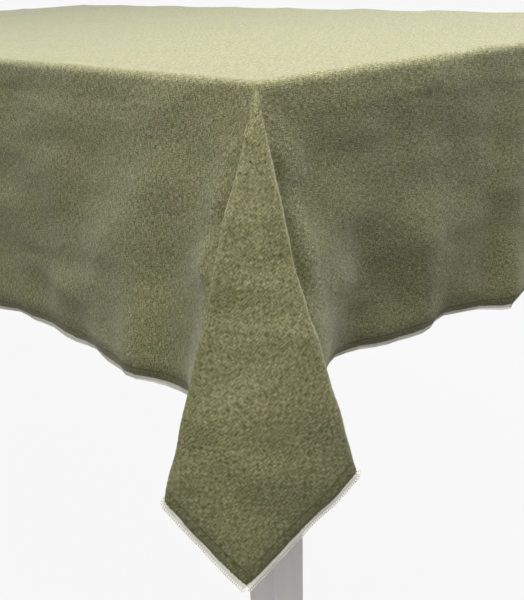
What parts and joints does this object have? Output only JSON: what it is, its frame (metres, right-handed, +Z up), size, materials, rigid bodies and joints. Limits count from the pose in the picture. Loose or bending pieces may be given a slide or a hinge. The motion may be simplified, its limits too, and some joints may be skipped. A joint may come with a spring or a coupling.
{
  "type": "tablecloth on a table",
  "caption": "Rectangular linen tablecloth with sewn-on edging, draped over a wooden table with a fold standing out at each corner.",
  "frame": {"origin": "centre of the footprint, on the floor", "axes": "+X along the table's long side to the right, -Y the front, +Z up"},
  "size_m": [1.637, 1.037, 0.7515],
  "materials": {
    "linen": "sage green heathered plain-weave linen, matte",
    "edging": "cream cotton edging tape with small loops",
    "painted_wood": "white-painted beech, satin",
    "zinc_steel": "zinc-plated steel, satin",
    "nylon": "off-white nylon, matte"
  },
  "bodies": {
    "table": {"table_top": "painted_wood", "apron_front": "painted_wood", "apron_back": "painted_wood", "apron_left": "painted_wood", "apron_right": "painted_wood", "leg_front_left": "painted_wood", "leg_front_right": "painted_wood", "leg_back_left": "painted_wood", "leg_back_right": "painted_wood", "bracket_front_left": "zinc_steel", "bracket_front_right": "zinc_steel", "bracket_back_left": "zinc_steel", "bracket_back_right": "zinc_steel", "glide_front_left": "nylon", "glide_front_right": "nylon", "glide_back_left": "nylon", "glide_back_right": "nylon", "hanger_bolts": "zinc_steel", "bolt_washers": "zinc_steel", "wing_nuts": "zinc_steel", "bracket_screws": "zinc_steel", "top_clips": "zinc_steel", "clip_screws": "zinc_steel"},
    "cloth": {"cloth_top_panel": "linen", "cloth_drop_front": "linen", "cloth_drop_back": "linen", "cloth_drop_left": "linen", "cloth_drop_right": "linen", "cloth_fold_front_left": "linen", "cloth_fold_front_right": "linen", "cloth_fold_back_left": "linen", "cloth_fold_back_right": "linen", "trim_front": "edging", "trim_back": "edging", "trim_left": "edging", "trim_right": "edging"}
  },
  "joints": [
    {"name": "cloth_lift", "type": "slide", "parent": "table", "child": "cloth", "axis": [0, 0, 1], "range_m": [0, 0.55]}
  ]
}
